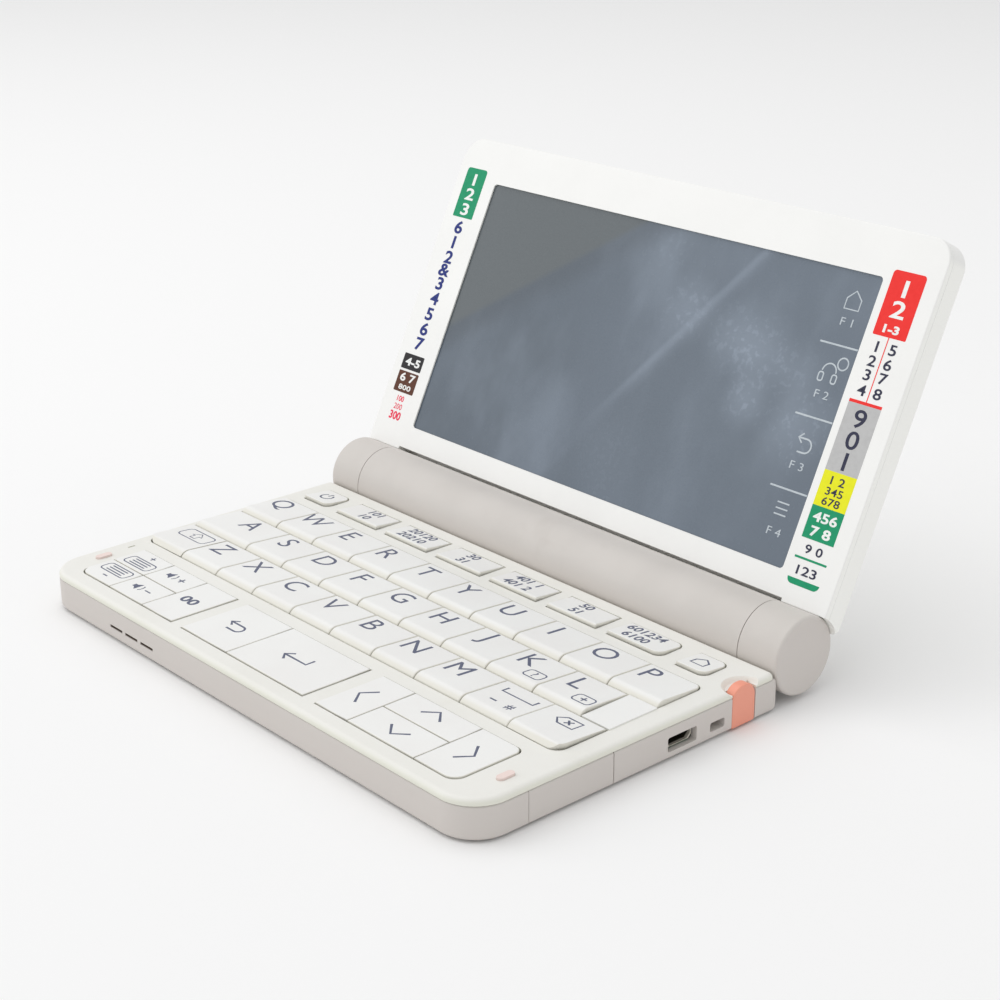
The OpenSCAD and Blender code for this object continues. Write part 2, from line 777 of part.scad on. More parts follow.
// Its metal shell, open to the right, with the tongue that carries the contacts
module data_socket() {
    translate([usb_x - usb_depth, 0, 0]) rotate([90, 0, 90]) {
        linear_extrude(usb_back) usb_outline(0);
        linear_extrude(usb_depth) difference() {
            usb_outline(0);
            usb_outline(shell_t);
        }
    }
    mid_y = usb_y + usb_w / 2;
    mid_z = board_top + usb_t / 2;
    block(usb_x - usb_depth + usb_back / 2, usb_x - usb_back, mid_y - usb_tongue_w / 2,
        mid_y + usb_tongue_w / 2, mid_z, mid_z + usb_tongue_t);
}

module main_board() color("#2f6b4a") {
    block(-board_half, board_half, board_y, board_rear_y, board_z, board_top);
    data_socket();
    card_socket();
}

module speaker() color(rubber_grey) block(speaker_x, speaker_x + speaker_w, speaker_y,
    speaker_y + speaker_d, floor_z + slip, floor_z + slip + speaker_t);

// Rubber sheet on the board, with an open cup round the end of every stem
module key_sheet() color("#d8d8d2") difference() {
    union() {
        block(-board_half, board_half, board_y, board_rear_y, sheet_z, sheet_z + sheet_t);
        for (s = stems) rod_z(s[0], s[1], s[2] + cup_play + cup_wall, sheet_z + slip, cup_z);
    }
    for (s = stems) rod_z(s[0], s[1], s[2] + cup_play, sheet_z + sheet_t, cup_z + over);
    block(usb_x - usb_depth - sheet_notch, half_w, usb_y, usb_y + usb_w, sheet_z - over, cup_z);
    block(card_x - card_depth - sheet_notch, half_w, card_y - sheet_notch, card_y + card_w + sheet_notch,
        sheet_z - over, cup_z);
}

module rubber_pads() {
    color(rubber_grey) mirror_pair() {
        rod_z(foot_x, foot_y, foot_r, 0, foot_h + foot_sink - hair);
        difference() {
            rod_z(barrel_foot_x, axis_y, barrel_foot_r, 0, axis_z - barrel_r + 1);
            axle(barrel_r + hair, barrel_foot_x - foot_r, barrel_foot_x + foot_r);
        }
    }
    color(salmon) mirror_pair() translate([bumper_x, bumper_y, deck_z - bumper_sink + hair])
        linear_extrude(bumper_sink + bumper_rise - hair) bumper_outline(0);
}

module case_screws() color(steel) mirror_pair() for (y = screw_ys) {
    rod_z(screw_x, y, screw_head_r, screw_head_z, screw_head_z + screw_head_t - hair);
    rod_z(screw_x, y, screw_r, screw_head_z + screw_head_t - over, screw_tip);
}

module card_cover() color(case_grey) {
    intersection() {
        case_body();
        cover_zone(cover_gap);
    }
    // Tabs that run under the deck
    for (y = [cover_y + tab_inset, cover_y + cover_w - tab_inset - tab_w])
        block(inner_x - tab_len, inner_x + 2 * cover_gap, y, y + tab_w, guide_z - 1.5, guide_z - 0.5);
}

module stylus() color(salmon) {
    rod_x(pen_y, pen_z, pen_r, pen_head_x - pen_len + pen_tip, pen_head_x + over);
    translate([pen_head_x - pen_len, pen_y, pen_z]) rotate([0, 90, 0])
        cylinder(r1 = pen_tip_r, r2 = pen_r, h = pen_tip);
    translate([pen_head_x, 0, 0]) rotate([90, 0, 90]) linear_extrude(pen_head_t)
        corner_rect(pen_head_y, pen_head_y + pen_head_w, foot_h + slip, deck_z + pen_head_rise,
            [pen_foot_r, pen_foot_r, pen_head_r, pen_head_r]);
}

// ---- lid ----

module lid_place() {
    translate([0, axis_y, axis_z]) rotate([-open_angle, 0, 0]) children();
}

// Room round the barrel and the drums
module hinge_room() {
    mid = barrel_half + drum_gap / 2;
    rod_x(0, 0, barrel_r + lid_slot, -mid, mid);
    rod_x(0, 0, barrel_r + hair, -lid_half - over, lid_half + over);
}

module window_outline(grow) {
    w = window_half + grow;
    corner_rect(-w, w, -window_end - grow, -window_start + grow, [window_r, window_r, window_r, window_r]);
}

module lid_frame() color(lid_white) lid_place() difference() {
    slab(lid_half, -lid_len, -lid_root, lid_corner_r, lid_root_r, lid_face, lid_face + frame_t,
        face_edge_r, frame_edge_r);
    hinge_room();
    translate([0, 0, lid_face - over]) linear_extrude(frame_t + 2 * over) window_outline(0);
    translate([0, 0, lid_face + window_lip]) linear_extrude(frame_t) window_outline(panel_border);
}

module lid_back() color(lid_white) lid_place() difference() {
    slab(lid_half, -lid_len, -lid_root, lid_corner_r, lid_root_r, shell_z, lid_back_z,
        shell_edge_r, back_edge_r);
    translate([0, 0, shell_z - over]) linear_extrude(lid_floor_z - shell_z + over)
        outline(lid_half - lid_wall, -lid_len + lid_wall, -chin, lid_corner_r - lid_wall, cavity_r);
    mirror_pair() block(tongue_x - slip, tongue_x + tongue_w + slip, -chin - over, -lid_root + over,
        shell_z - over, tongue_z + tongue_t + slip);
    hinge_room();
}

// Dark gasket just behind the window's lip, and the touch glass on it
module touch_panel() color("#6f7880") lid_place() {
    translate([0, 0, panel_z]) linear_extrude(gasket_t) difference() {
        window_outline(panel_border - slip);
        window_outline(-gasket_w);
    }
    translate([0, 0, panel_z + gasket_t]) linear_extrude(glass_t) window_outline(panel_border - slip);
}

module display_module() color(rubber_grey) lid_place() block(-display_half, display_half,
    -window_end - display_border, -window_start + display_border, display_z, lid_floor_z - slip);

// Hollow drums that turn on the shafts, each with a tongue that reaches into the lid
module hinge_drums() color(case_grey) lid_place() mirror_pair() {
    x0 = barrel_half + drum_gap;
    w = half_w - x0;
    difference() {
        translate([x0, 0, 0]) rotate([90, 0, 90]) rotate_extrude() {
            square([barrel_r - drum_edge_r, w]);
            square([barrel_r, w - drum_edge_r]);
            translate([barrel_r - drum_edge_r, w - drum_edge_r]) circle(r = drum_edge_r);
        }
        difference() {
            rod_x(0, 0, barrel_bore_r, x0 - over, half_w - drum_wall);
            rod_x(0, 0, shaft_r + drum_boss_wall, x0 - 2 * over, half_w);
        }
        rod_x(0, 0, shaft_r + turn_play, x0 - over, half_w - drum_wall - shaft_end_room / 2);
    }
    difference() {
        block(tongue_x, tongue_x + tongue_w, -tongue_end, -tongue_start, tongue_z, tongue_z + tongue_t);
        rod_x(0, 0, shaft_r + turn_play, x0 - over, half_w);
    }
}

// ---- keys ----

module power_key() top_key(power_span, true);

module dictionary_keys() for (i = [0 : dictionary_count - 1])
    top_key(dictionary_span(i), i == dictionary_count - 1);

module home_key() top_key(home_span, true);

module shift_key() row_key(0, 0, [outer_r, 0, 0, 0]);

module space_key() row_key(0, 8);

module delete_key() row_key(0, 9, [0, outer_r, 0, 0]);

module size_keys() {
    front_half_key(left_cluster, 0, [outer_r, 0, 0, 0]);
    back_half_key(left_cluster, 0);
}

module volume_keys() {
    front_half_key(left_cluster, 1);
    back_half_key(left_cluster, 1);
}

module history_key() full_key(left_cluster, 2);

module back_key() full_key(middle_cluster, 0);

module enter_key() full_key(middle_cluster, 1);

module left_key() full_key(right_cluster, 0);

module up_key() back_half_key(right_cluster, 1);

module down_key() front_half_key(right_cluster, 1);

module right_key() full_key(right_cluster, 2, [0, outer_r, small_r, 0]);

bottom_case();
top_deck();
barrel();
main_board();
speaker();
key_sheet();
batteries();
battery_contacts();
rubber_pads();
case_screws();
hinge_shafts();
battery_cover();
card_cover();
stylus();
lid_frame();
lid_back();
display_module();
touch_panel();
hinge_drums();
power_key();
dictionary_keys();
home_key();
shift_key();
space_key();
delete_key();
size_keys();
volume_keys();
history_key();
back_key();
enter_key();
left_key();
up_key();
down_key();
right_key();
for (i = [0 : 9]) back_row_key(i);
for (i = [0 : 8]) row_key(1, i);
for (i = [0 : 6]) row_key(0, i + 1);
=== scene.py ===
import math
import bpy
import bmesh
from mathutils import Matrix, Vector


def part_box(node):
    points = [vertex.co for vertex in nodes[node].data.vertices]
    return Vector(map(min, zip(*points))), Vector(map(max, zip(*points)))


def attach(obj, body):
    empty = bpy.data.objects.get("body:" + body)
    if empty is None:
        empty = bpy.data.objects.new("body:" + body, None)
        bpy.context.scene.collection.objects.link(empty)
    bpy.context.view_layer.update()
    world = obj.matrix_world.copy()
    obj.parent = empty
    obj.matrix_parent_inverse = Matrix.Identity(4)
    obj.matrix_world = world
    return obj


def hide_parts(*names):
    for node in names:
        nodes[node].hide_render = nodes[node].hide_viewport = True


# Electronic dictionary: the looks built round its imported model.
# Sizes in the dictionaries are millimetres and degrees; the scene is in metres.
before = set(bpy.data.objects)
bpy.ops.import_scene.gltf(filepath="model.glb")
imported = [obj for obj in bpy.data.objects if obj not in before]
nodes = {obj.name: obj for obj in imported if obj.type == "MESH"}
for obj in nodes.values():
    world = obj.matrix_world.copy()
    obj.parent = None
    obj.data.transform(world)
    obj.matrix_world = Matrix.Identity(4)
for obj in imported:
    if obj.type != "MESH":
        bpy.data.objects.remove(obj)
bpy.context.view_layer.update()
mm = 0.001
scene = bpy.context.scene
print("stage: frame loaded,", len(nodes), "nodes")


def linear(colour):
    # "#rrggbb" as the eye sees it, to the values a shader takes
    parts = [int(colour[i:i + 2], 16) / 255 for i in (1, 3, 5)]
    return [c / 12.92 if c <= 0.04045 else ((c + 0.055) / 1.055) ** 2.4 for c in parts] + [1]


class Wire:
    # One output in a material; sums on it add their Math nodes
    def __init__(self, tree, socket=None):
        self.tree = tree
        self.socket = socket

    def node(self, kind, settings=None, values=None, out=0):
        made = self.tree.nodes.new(kind)
        for key, value in (settings or {}).items():
            setattr(made, key, value)
        self.plug(made, values or {})
        return Wire(self.tree, made.outputs[out])

    def plug(self, made, values):
        # a value is a wire, a number, a vector or a "#rrggbb" colour
        for key, value in values.items():
            if isinstance(value, Wire):
                self.tree.links.new(value.socket, made.inputs[key])
            else:
                made.inputs[key].default_value = linear(value) if isinstance(value, str) else value

    def maths(self, operation, *terms):
        return self.node("ShaderNodeMath", {"operation": operation}, dict(enumerate(terms)))

    def __add__(self, other):
        return self.maths("ADD", self, other)

    __radd__ = __add__

    def __sub__(self, other):
        return self.maths("SUBTRACT", self, other)

    def __rsub__(self, other):
        return self.maths("SUBTRACT", other, self)

    def __mul__(self, other):
        return self.maths("MULTIPLY", self, other)

    __rmul__ = __mul__

    def __truediv__(self, other):
        return self.maths("DIVIDE", self, other)

    def root(self):
        return self.maths("SQRT", self)

    def smooth(self, low, high):
        # 0 below low, 1 above high
        return self.node("ShaderNodeMapRange", {"interpolation_type": "SMOOTHSTEP"},
                         {"Value": self, "From Min": low, "From Max": high})

    def noise(self, scale, detail=2, rough=0.5):
        return self.node("ShaderNodeTexNoise", {"noise_dimensions": "3D"},
                         {"Vector": self, "Scale": scale, "Detail": detail, "Roughness": rough})

    def mix(self, first, second):
        # self is the share of the second colour
        return self.node("ShaderNodeMix", {"data_type": "RGBA"}, {0: self, 6: first, 7: second}, 2)


def startFinish(name):
    material = bpy.data.materials.new(name)
    material.use_nodes = True
    shader = material.node_tree.nodes["Principled BSDF"]
    place = Wire(material.node_tree).node("ShaderNodeTexCoord", out="Object")
    return material, shader, place


def axes(vector):
    parts = vector.node("ShaderNodeSeparateXYZ", values={0: vector})
    return [Wire(vector.tree, socket) for socket in parts.socket.node.outputs]


grainLook = {  # shared by all moulded plastics
    "cloud": 60,
    "grain": 2600,
    "cloudGloss": 0.12,
    "grainGloss": 0.08,
    "bump": 0.12,
    "bumpDepth": 0.04,
    "lookUp": (0.2, 0.98),  # from the painted side shading to the top's colour, as the face's normal turns up
    "raisedFade": 0.04,
    "slotFade": 0.05,
}


def plastic(name, look):
    # Moulded plastic: fine grain, slightly uneven tone and gloss, painted shading on the faces that don't
    # look up
    material, shader, place = startFinish(name)
    cloud = place.noise(grainLook["cloud"], 3)
    speck = place.noise(grainLook["grain"], 2, 0.6)
    normal = place.node("ShaderNodeNewGeometry", out="Normal")
    upward = axes(normal)[2].smooth(*look.get("lookUp", grainLook["lookUp"]))
    tone = cloud.smooth(0.35, 0.75).mix(look["colour"], look["patch"])
    # painted shading: faces turned away from the top take the side colour, darker on the deck and keys,
    # lighter on the lid
    tone = (1 - upward).mix(tone, look.get("side", look["colour"]))
    if "raised" in look:
        # what stands above a height has its own colour
        height = look["raisedFrom"]
        above = axes(place)[2].smooth(height * mm, (height + grainLook["raisedFade"]) * mm)
        tone = above.mix(tone, look["raised"])
    if "slots" in look:
        # painted shade inside the openings: low and high end of the region on each axis
        fade = grainLook["slotFade"]
        share = 1
        for axis, (low, high) in zip(axes(place), look["slots"]):
            share = share * axis.smooth((low - fade) * mm, (low + fade) * mm) * (
                1 - axis.smooth((high - fade) * mm, (high + fade) * mm))
        tone = share.mix(tone, look["slotTone"])
    if "dirt" in look:
        dirt = place.noise(look["dirtScale"], 4, 0.65).smooth(0.62, 0.78) * look["dirtShare"]
        tone = dirt.mix(tone, look["dirt"])
    rough = look["rough"] + (cloud - 0.5) * grainLook["cloudGloss"] + (speck - 0.5) * grainLook["grainGloss"]
    bump = place.node("ShaderNodeBump", values={"Height": speck, "Strength": grainLook["bump"],
                                                 "Distance": grainLook["bumpDepth"] * mm})
    place.plug(shader, {"Base Color": tone, "Roughness": rough, "Normal": bump, "IOR": 1.46,
                        "Coat Roughness": 0.25, "Coat Weight": look.get("coat", 0)})
    return material


finishes = {
    "deckPlastic": {"colour": "#ecebe6", "patch": "#e9e8e2", "side": "#e6e6da", "rough": 0.5,
                    "raised": "#f0f0ee", "raisedFrom": 9.6, "dirt": "#dcd7ca", "dirtScale": 35,
                    "dirtShare": 0.25},
    "keyPlastic": {"colour": "#f0f0ee", "patch": "#edecea", "side": "#e6e4db", "lookUp": (0.72, 0.99),
                   "rough": 0.46},
    "casePlastic": {"colour": "#d1ccc7", "patch": "#ccc7c2", "side": "#d1cbc6", "lookUp": (0.05, 0.5),
                    "slots": [(-49.6, -30.8), (-51.9, -50.4), (3.15, 3.95)], "slotTone": "#75665c",
                    "rough": 0.52, "dirt": "#b9b1aa", "dirtScale": 40, "dirtShare": 0.3},
    "lidPlastic": {"colour": "#f2f2f0", "patch": "#f0f0ee", "side": "#fcfcf8", "lookUp": (0.1, 0.42),
                   "rough": 0.36, "coat": 0.1},
    "penPlastic": {"colour": "#f49f86", "patch": "#f09980", "side": "#f2a088", "rough": 0.4, "coat": 0.1},
    "footRubber": {"colour": "#3d3e43", "patch": "#35363a", "rough": 0.7, "raised": "#ecd9d3",
                   "raisedFrom": 5},
    "darkInside": {"colour": "#4a443f", "patch": "#3a3531", "rough": 0.7},
}
plastics = {name: plastic(name, look) for name, look in finishes.items()}

boardLook = {
    "mask": "#2f5a3c",
    "patch": "#294f35",
    "metal": "#d6d1c6",
    # dark: painted shade inside the socket's shell
    "dark": "#3b3a30",
    "metalFrom": (2.54, 2.57),  # height above which parts stand on the board
    "mouth": (75.9, 76.2),  # the socket's shell has painted shade inside, and shows its metal only at its mouth
}


def boardFinish():
    # Green board with bright metal sockets, with painted shade inside them
    material, shader, place = startFinish("boardFinish")
    x, y, z = axes(place)
    cloud = place.noise(300, 3)
    metal = z.smooth(*[end * mm for end in boardLook["metalFrom"]])
    mouth = x.smooth(*[end * mm for end in boardLook["mouth"]])
    # painted shade: the socket's shell turns dark inside, away from its mouth
    shellWithShade = mouth.mix(boardLook["dark"], boardLook["metal"])
    tone = metal.mix(cloud.mix(boardLook["mask"], boardLook["patch"]), shellWithShade)
    place.plug(shader, {"Base Color": tone, "Roughness": 0.35 + (cloud - 0.5) * 0.2, "Metallic": metal * 0.4})
    return material


inks = {  # colour, second colour and roughness
    "legend": ("#60657a", "#6b7084", 0.55),
    "navy": ("#27347c", "#303c80", 0.5),
    "dark": ("#33354a", "#3c3e52", 0.5),
    "white": ("#f4f6f4", "#eceeec", 0.5),
    "green": ("#17976a", "#159065", 0.45),
    "red": ("#f2332f", "#ec302c", 0.45),
    "yellow": ("#ecec1e", "#e6e61c", 0.45),
    "brown": ("#5d3625", "#563223", 0.45),
    "black": ("#262527", "#2e2d2e", 0.45),
    "grey": ("#bfbfbf", "#b9b9b9", 0.45),
    "pink": ("#ee3f5c", "#e83a57", 0.45),
    "screen": ("#c4ccd2", "#b9c2c9", 0.45),
}


def ink(name, colour, patch, rough):
    # Printed paint, with a slightly uneven tone
    material, shader, place = startFinish(name)
    patchy = place.noise(900, 3)
    tone = patchy.smooth(0.35, 0.8).mix(colour, patch)
    place.plug(shader, {"Base Color": tone, "Roughness": rough + (patchy - 0.5) * 0.15,
                        "Specular IOR Level": 0.2})
    return material


inkFinish = {name: ink(name + "Ink", *look) for name, look in inks.items()}
print("stage: finishes")


# Mesh helpers, in millimetres
def meshOf(bm, name="part"):
    mesh = bpy.data.meshes.new(name)
    bm.to_mesh(mesh)
    bm.free()
    return mesh


def addMesh(bm, mesh, matrix):
    # A finished mesh set into bm at its place
    mesh.transform(matrix)
    bm.from_mesh(mesh)
    bpy.data.meshes.remove(mesh)


def addPiece(name, bm, finish, body, smooth=True):
    bm.transform(Matrix.Scale(mm, 4))
    mesh = meshOf(bm, name)
    for face in mesh.polygons:
        face.use_smooth = smooth
    piece = bpy.data.objects.new(name, mesh)
    scene.collection.objects.link(piece)
    mesh.materials.append(finish)
    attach(piece, body)
    return piece


def evenNormals(piece):
    # Flat faces keep their light, roundings blend into them
    for face in piece.data.polygons:
        face.use_smooth = True
    modifier = piece.modifiers.new("evenNormals", "WEIGHTED_NORMAL")
    modifier.keep_sharp = True
    modifier.weight = 80


def arc(cx, cy, r, start, end, steps=12):
    turns = [math.radians(start + (end - start) * i / steps) for i in range(steps + 1)]
    return [(cx + r * math.cos(a), cy + r * math.sin(a)) for a in turns]


def roundedOutline(x0, x1, y0, y1, radii=(0, 0, 0, 0)):
    # Points of a rectangle with its own radius at each corner, from the lower left anticlockwise
    centres = [(x0 + radii[0], y0 + radii[0]), (x1 - radii[1], y0 + radii[1]),
               (x1 - radii[2], y1 - radii[2]), (x0 + radii[3], y1 - radii[3])]
    points = []
    for corner, ((cx, cy), radius) in enumerate(zip(centres, radii)):
        start = 180 + 90 * corner
        points += arc(cx, cy, radius, start, start + 90, 6) if radius > 0 else [(cx, cy)]
    return points


def plate(bm, outline, low, high):
    # Closed plate over an outline
    base = [bm.verts.new((x, y, low)) for x, y in outline]
    face = bm.faces.new(base)
    grown = bmesh.ops.extrude_face_region(bm, geom=[face])
    top = [g for g in grown["geom"] if isinstance(g, bmesh.types.BMVert)]
    bmesh.ops.translate(bm, verts=top, vec=(0, 0, high - low))
    bmesh.ops.recalc_face_normals(bm, faces=bm.faces[:])


# Printed marks: each is a thin mesh about the origin, which is then laid in its place
printLook = {
    "depth": 0.05,
    "over": 0.02,  # the lid's writing stands this much above its coloured fields
    "capital": 0.73,  # height of a capital, as a share of the type's size
    "spacing": 1.02,
    "curveSteps": 4,
}


def solidOf(curve):
    holder = bpy.data.objects.new("holder", curve)
    scene.collection.objects.link(holder)
    bpy.context.view_layer.update()
    mesh = bpy.data.meshes.new_from_object(holder.evaluated_get(bpy.context.evaluated_depsgraph_get()))
    bpy.data.objects.remove(holder)
    bpy.data.curves.remove(curve)
    return mesh


def words(text, height, weight=0.0, wide=1.0):
    # Characters with capitals of a given height
    curve = bpy.data.curves.new("words", "FONT")
    curve.body = text
    curve.size = height / printLook["capital"]
    curve.offset = weight
    curve.extrude = printLook["depth"] / 2
    curve.resolution_u = printLook["curveSteps"]
    curve.space_character = printLook["spacing"]
    mesh = solidOf(curve)
    xs = [v.co.x for v in mesh.vertices]
    ys = [v.co.y for v in mesh.vertices]
    mesh.transform(Matrix.Translation((-(min(xs) + max(xs)) / 2, -(min(ys) + max(ys)) / 2, 0)))
    mesh.transform(Matrix.Diagonal((wide, 1, 1, 1)))
    return mesh


def strokes(lines, width):
    # Lines drawn with a flat pen: each is (points, closed)
    curve = bpy.data.curves.new("strokes", "CURVE")
    curve.dimensions = "3D"
    curve.bevel_depth = width / 2
    curve.bevel_resolution = 1
    curve.use_fill_caps = True
    for points, closed in lines:
        spline = curve.splines.new("POLY")
        spline.points.add(len(points) - 1)
        for point, (x, y) in zip(spline.points, points):
            point.co = (x, y, 0, 1)
        spline.use_cyclic_u = closed
    mesh = solidOf(curve)
    mesh.transform(Matrix.Diagonal((1, 1, printLook["depth"] / width, 1)))
    return mesh


def ring(outline, width):
    return strokes([(outline, True)], width)


def bars(width, gap, count, pen):
    # Short level lines, one above another
    heights = [(i - (count - 1) / 2) * gap for i in range(count)]
    return strokes([([(-width / 2, y), (width / 2, y)], False) for y in heights], pen)


def filled(outline):
    bm = bmesh.new()
    plate(bm, outline, -printLook["depth"] / 2, printLook["depth"] / 2)
    return meshOf(bm)


# Keys: one cap or more over each node's place, with a stem down to its rubber cup
keyLook = {
    "deck": 9.55,  # the deck's top, on which the heights below stand
    "underside": 8.1,
    # ridgeIn and backIn are measured from the front and the back edge; soft is the edges' rounding
    "sloped": {"height": 1.25, "ridgeIn": 1.2, "back": 0.45, "backIn": 0.5, "soft": 0.3,
               "frontLip": 0.05, "backLip": 0.15, "ridgeSoft": 1.0},
    "topRow": {"height": 0.9, "ridgeIn": 0.5, "back": 0.2, "backIn": 0, "soft": 0.42},
    "cluster": {"height": 0.3, "ridgeIn": 0, "back": 0.3, "backIn": 0, "soft": 0.22},
}
stemLook = {"wide": 2.0, "small": 1.2, "inset": 0.8, "gap": 0.15}
capForms = {}  # form of each key node's caps


def cutAway(bm, point, normal):
    # Takes off what lies beyond a plane and closes the cut
    cut = bmesh.ops.bisect_plane(bm, geom=bm.verts[:] + bm.edges[:] + bm.faces[:], dist=1e-5,
                                 plane_co=point, plane_no=normal, clear_outer=True)
    rim = [g for g in cut["geom_cut"] if isinstance(g, bmesh.types.BMEdge)]
    bmesh.ops.contextual_create(bm, geom=rim)
    bmesh.ops.recalc_face_normals(bm, faces=bm.faces[:])


def roundEdges(bm, edges, radius, segments, clamp=False):
    bmesh.ops.bevel(bm, geom=edges, offset=radius, segments=segments, profile=0.5, affect="EDGES",
                    material=-1, clamp_overlap=clamp)


def capSlope(y0, y1, form):
    # Highest point of a cap's top, and where its slope ends at the back
    look = keyLook[form]
    deck = keyLook["deck"]
    return (Vector((0, y0 + look["ridgeIn"], deck + look["height"])),
            Vector((0, y1 - look["backIn"], deck + look["back"])))


def keyCap(span, radii, form):
    x0, x1, y0, y1 = span
    look = keyLook[form]
    low = keyLook["underside"]
    top = keyLook["deck"] + look["height"]
    bm = bmesh.new()
    bmesh.ops.create_cube(bm, size=1)
    bmesh.ops.scale(bm, verts=bm.verts, vec=(x1 - x0, y1 - y0, top - low))
    bmesh.ops.translate(bm, verts=bm.verts, vec=((x0 + x1) / 2, (y0 + y1) / 2, (top + low) / 2))
    for (cx, cy), radius in zip([(x0, y0), (x1, y0), (x1, y1), (x0, y1)], radii):
        if radius > 0:
            edge = [e for e in bm.edges if all(abs(v.co.x - cx) + abs(v.co.y - cy) < 1e-4 for v in e.verts)]
            roundEdges(bm, edge, radius, 8)
    ridge, back = capSlope(y0, y1, form)
    if ridge.z > back.z:
        along = back - ridge
        cutAway(bm, ridge, Vector((0, -along.z, along.y)))
    if form == "sloped":
        cutAway(bm, ridge, Vector((0, look["frontLip"] - look["height"], look["ridgeIn"])))
        cutAway(bm, back, Vector((0, look["back"] - look["backLip"], look["backIn"])))
        crest = [e for e in bm.edges if all(abs(v.co.y - ridge.y) < 1e-3 and abs(v.co.z - top) < 1e-3
                                            for v in e.verts)]
        roundEdges(bm, crest, look["ridgeSoft"], 4)
        bmesh.ops.recalc_face_normals(bm, faces=bm.faces[:])
    # edges between a top and a wall
    rims = [e for e in bm.edges if len(e.link_faces) == 2 and e.calc_face_angle(0) > math.radians(22)
            and min(v.co.z for v in e.verts) > low + 0.5
            and max(f.normal.z for f in e.link_faces) > 0.5 and min(f.normal.z for f in e.link_faces) < 0.5]
    roundEdges(bm, rims, look["soft"], 3, clamp=True)
    bmesh.ops.recalc_face_normals(bm, faces=bm.faces[:])
    return bm


def spanOf(node):
    low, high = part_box(node)
    return [low.x / mm, high.x / mm, low.y / mm, high.y / mm]


def stemUnder(span, place):
    # Centre and radius of a stem under a cap's middle or front edge, or under one cap of a pair
    x0, x1, y0, y1 = span
    wide, small = stemLook["wide"], stemLook["small"]
    reach = wide + stemLook["inset"] - stemLook["gap"]
    depths = {"middle": (y0 + y1) / 2, "edge": y0 + small,
              "frontOfPair": y1 - reach, "backOfPair": y0 + reach}
    return (x0 + x1) / 2, depths[place], small if place == "edge" else wide


def addStem(bm, x, y, radius, low):
    height = keyLook["underside"] + 0.1 - low
    bmesh.ops.create_cone(bm, cap_ends=True, segments=24, radius1=radius, radius2=radius, depth=height,
                          matrix=Matrix.Translation((x, y, low + height / 2)))


def shortName(node):
    return node.replace("key_", "").replace("_keys", "").replace("_key", "")


def makeKey(node, spans, radii, form, stems):
    capForms[node] = form
    whole = bmesh.new()
    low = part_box(node)[0].z / mm
    for span, corner, (x, y, radius) in zip(spans, radii, stems):
        addMesh(whole, meshOf(keyCap(span, corner, form)), Matrix.Identity(4))
        addStem(whole, x, y, radius, low)
    piece = addPiece("cap_" + shortName(node), whole, plastics["keyPlastic"], node)
    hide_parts(node)
    evenNormals(piece)


keyboard = {
    "letters": "zxcvbnmasdfghjklqwertyuiop",
    "outer": 3.0,  # outer corners of the keyboard
    "small": 2.0,
    "halfShare": 0.516,
    "gap": 0.3,
    "dictionaryWidth": 15.906,
    "dictionaryCount": 6,
}
outer, small = keyboard["outer"], keyboard["small"]
square = (0, 0, 0, 0)
singleKeys = {"key_" + letter: ("sloped", square) for letter in keyboard["letters"]}
singleKeys.update({  # form and corner radii, from the lower left anticlockwise
    "key_q": ("sloped", (0, 0, 0, small)),
    "key_p": ("sloped", (0, 0, small, 0)),
    "shift_key": ("sloped", (outer, 0, 0, 0)),
    "space_key": ("sloped", square),
    "delete_key": ("sloped", (0, outer, 0, 0)),
    "history_key": ("cluster", square),
    "back_key": ("cluster", square),
    "enter_key": ("cluster", square),
    "left_key": ("cluster", square),
    "right_key": ("cluster", (0, outer, small, 0)),
    "power_key": ("topRow", (0, small, small, 0)),
    "home_key": ("topRow", (0, small, small, 0)),
})
for node, (form, corner) in singleKeys.items():
    span = spanOf(node)
    makeKey(node, [span], [corner], form, [stemUnder(span, "edge" if form == "topRow" else "middle")])

for node, corner in (("size_keys", (outer, 0, 0, 0)), ("volume_keys", square)):
    # two caps in one node, one behind the other
    x0, x1, y0, y1 = spanOf(node)
    gap = keyboard["gap"]
    split = y0 + (y1 - y0 + gap) * keyboard["halfShare"] - gap / 2
    front, back = [x0, x1, y0, split - gap / 2], [x0, x1, split + gap / 2, y1]
    makeKey(node, [front, back], [corner, square], "cluster",
            [stemUnder(front, "frontOfPair"), stemUnder(back, "backOfPair")])
for node, place in (("up_key", "backOfPair"), ("down_key", "frontOfPair")):
    span = spanOf(node)
    makeKey(node, [span], [square], "cluster", [stemUnder(span, place)])

x0, x1, y0, y1 = spanOf("dictionary_keys")
wide, count = keyboard["dictionaryWidth"], keyboard["dictionaryCount"]
step = (x1 - x0 - wide) / (count - 1)
rowSpans = [[x0 + i * step, x0 + i * step + wide, y0, y1] for i in range(count)]
rowCorners = [square] * (count - 1) + [(0, small, small, 0)]
makeKey("dictionary_keys", rowSpans, rowCorners, "topRow", [stemUnder(span, "edge") for span in rowSpans])
print("stage: keys")


# Legends printed on the keys, placed by x and the distance from the base's front edge
frontEdge = -52.1


def onKey(node, x, fromFront):
    # Where a legend lies on its cap's top
    y = fromFront + frontEdge
    x0, x1, y0, y1 = spanOf(node)
    ridge, back = capSlope(y0, y1, capForms[node])
    fall = (back.z - ridge.z) / (back.y - ridge.y)
    return (Matrix.Translation((x, y, ridge.z + fall * (y - ridge.y)))
            @ Matrix.Rotation(math.atan(fall), 4, "X"))


def addLegend(node, marks):
    # marks: (mesh, x, distance from the front edge)
    bm = bmesh.new()
    for mesh, x, fromFront in marks:
        addMesh(bm, mesh, onKey(node, x, fromFront))
    addPiece("legend_" + shortName(node), bm, inkFinish["legend"], node, smooth=False)


